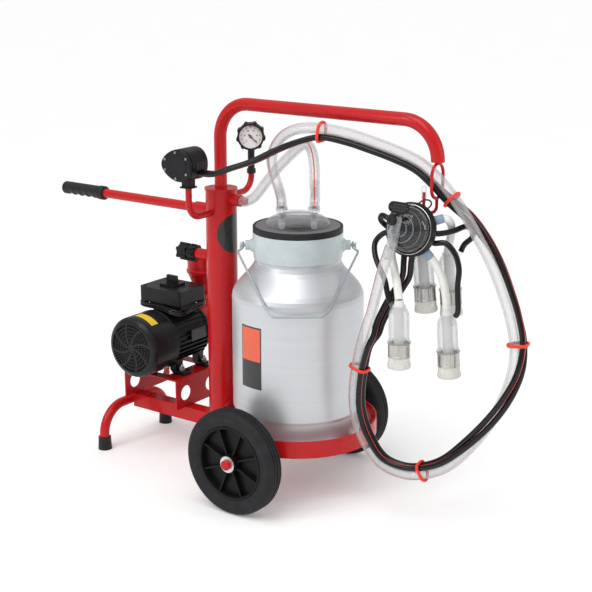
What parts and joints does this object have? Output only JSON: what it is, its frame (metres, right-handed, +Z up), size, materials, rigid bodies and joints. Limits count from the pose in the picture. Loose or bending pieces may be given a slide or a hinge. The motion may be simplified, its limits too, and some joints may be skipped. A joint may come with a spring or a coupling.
{
  "type": "milking machine",
  "caption": "Wheeled bucket milking machine: red tube cart with a vacuum pump and motor, vacuum tank, milk can, hanger, hoses and a milking cluster.",
  "frame": {"origin": "on the floor under the middle of the machine, between the wheels' sides", "axes": "+X from the push handle to the hanging cluster, +Y along the axle to the left wheel, +Z up"},
  "size_m": [1.5344, 0.584, 1.043],
  "materials": {
    "red_paint": "gloss powder coat",
    "black_paint": "satin black paint",
    "tyre": "matt rubber",
    "rim": "moulded",
    "zinc": "zinc plated",
    "black_rubber": "smooth",
    "black_plastic": "moulded",
    "steel": "brushed",
    "core": "laminated core with windings",
    "aluminium": "satin",
    "blue_grey": "moulded",
    "clear": "clear",
    "hose_clear": "clear soft tube",
    "hose_black": "glossy, with a red line",
    "ring_red": "smooth",
    "milky": "milky translucent",
    "liner": "smooth silicone",
    "smoky": "smoky clear",
    "dial": "polished case with a white dial"
  },
  "bodies": {
    "cart": {"base_beam": "red_paint", "rear_legs": "red_paint", "foot_caps": "black_rubber", "vacuum_tank": "red_paint", "hanger_tube": "red_paint", "hose_eye": "red_paint", "can_ring": "red_paint", "axle": "red_paint", "axle_washers": "zinc", "handle_tube": "red_paint", "handle_grip": "black_rubber", "motor_bracket": "red_paint", "motor_housing": "black_paint", "drive_shield": "black_paint", "fan_cowl": "black_paint", "stator": "core", "motor_bolts": "zinc", "terminal_box": "black_plastic", "terminal_lid": "black_plastic", "cord_gland": "black_plastic", "power_cord": "hose_black", "cord_coil": "hose_black", "power_plug": "black_rubber", "pump_housing": "red_paint", "pump_cover": "red_paint", "silencer": "red_paint", "suction_pipe": "red_paint", "regulator_body": "black_plastic", "branch_pipes": "red_paint", "pulsator_body": "black_plastic", "pulsator_cover": "black_plastic", "gauge_case": "dial", "gauge_boot": "black_rubber", "vacuum_hose": "hose_clear", "milk_hose": "hose_clear", "pulse_tube_a": "hose_black", "pulse_tube_b": "hose_black", "hose_rings": "ring_red", "milk_can": "aluminium", "can_collar": "blue_grey", "can_lid": "clear", "lid_nozzles": "clear", "claw_bowl": "smoky", "claw_body": "black_plastic", "teat_shells": "clear", "teat_liners": "liner", "short_milk_tubes": "milky", "short_pulse_tubes": "hose_black"},
    "right_wheel": {"right_tyre": "tyre", "right_rim": "rim"},
    "left_wheel": {"left_tyre": "tyre", "left_rim": "rim"},
    "bail": {"can_bail": "zinc"},
    "switch": {"switch_knob": "black_plastic"},
    "regulator_cap": {"regulator_knob": "black_plastic"},
    "needle": {"gauge_needle": "black_plastic"},
    "motor_rotor": {"rotor_shaft": "steel", "cooling_fan": "black_plastic", "pump_rotor": "steel"},
    "valve": {"claw_valve": "black_rubber"}
  },
  "joints": [
    {"name": "right_wheel_spin", "type": "hinge", "parent": "cart", "child": "right_wheel", "pos_m": [0.148, -0.256, 0.141], "axis": [0, 1, 0], "continuous": true},
    {"name": "left_wheel_spin", "type": "hinge", "parent": "cart", "child": "left_wheel", "pos_m": [0.148, 0.256, 0.141], "axis": [0, 1, 0], "continuous": true},
    {"name": "bail_lift", "type": "hinge", "parent": "cart", "child": "bail", "pos_m": [0.168, 0, 0.67], "axis": [-0.8111, -0.585, 0], "range_deg": [0, 100]},
    {"name": "switch_turn", "type": "hinge", "parent": "cart", "child": "switch", "pos_m": [-0.316, 0.05, 0.474], "axis": [0, 0, 1], "range_deg": [0, 90]},
    {"name": "regulator_turn", "type": "hinge", "parent": "cart", "child": "regulator_cap", "pos_m": [-0.2, 0, 0.598], "axis": [1, 0, 0], "range_deg": [0, 180]},
    {"name": "needle_sweep", "type": "hinge", "parent": "cart", "child": "needle", "pos_m": [-0.089, 0.135, 0.919], "axis": [0.585, -0.8111, 0], "range_deg": [0, 270], "stiffness_Nm_per_rad": 0.00001},
    {"name": "rotor_spin", "type": "hinge", "parent": "cart", "child": "motor_rotor", "pos_m": [-0.316, 0, 0.328], "axis": [0, 1, 0], "continuous": true},
    {"name": "valve_lift", "type": "slide", "parent": "cart", "child": "valve", "axis": [0.1908, 0, 0.9816], "range_m": [0, 0.008]}
  ]
}
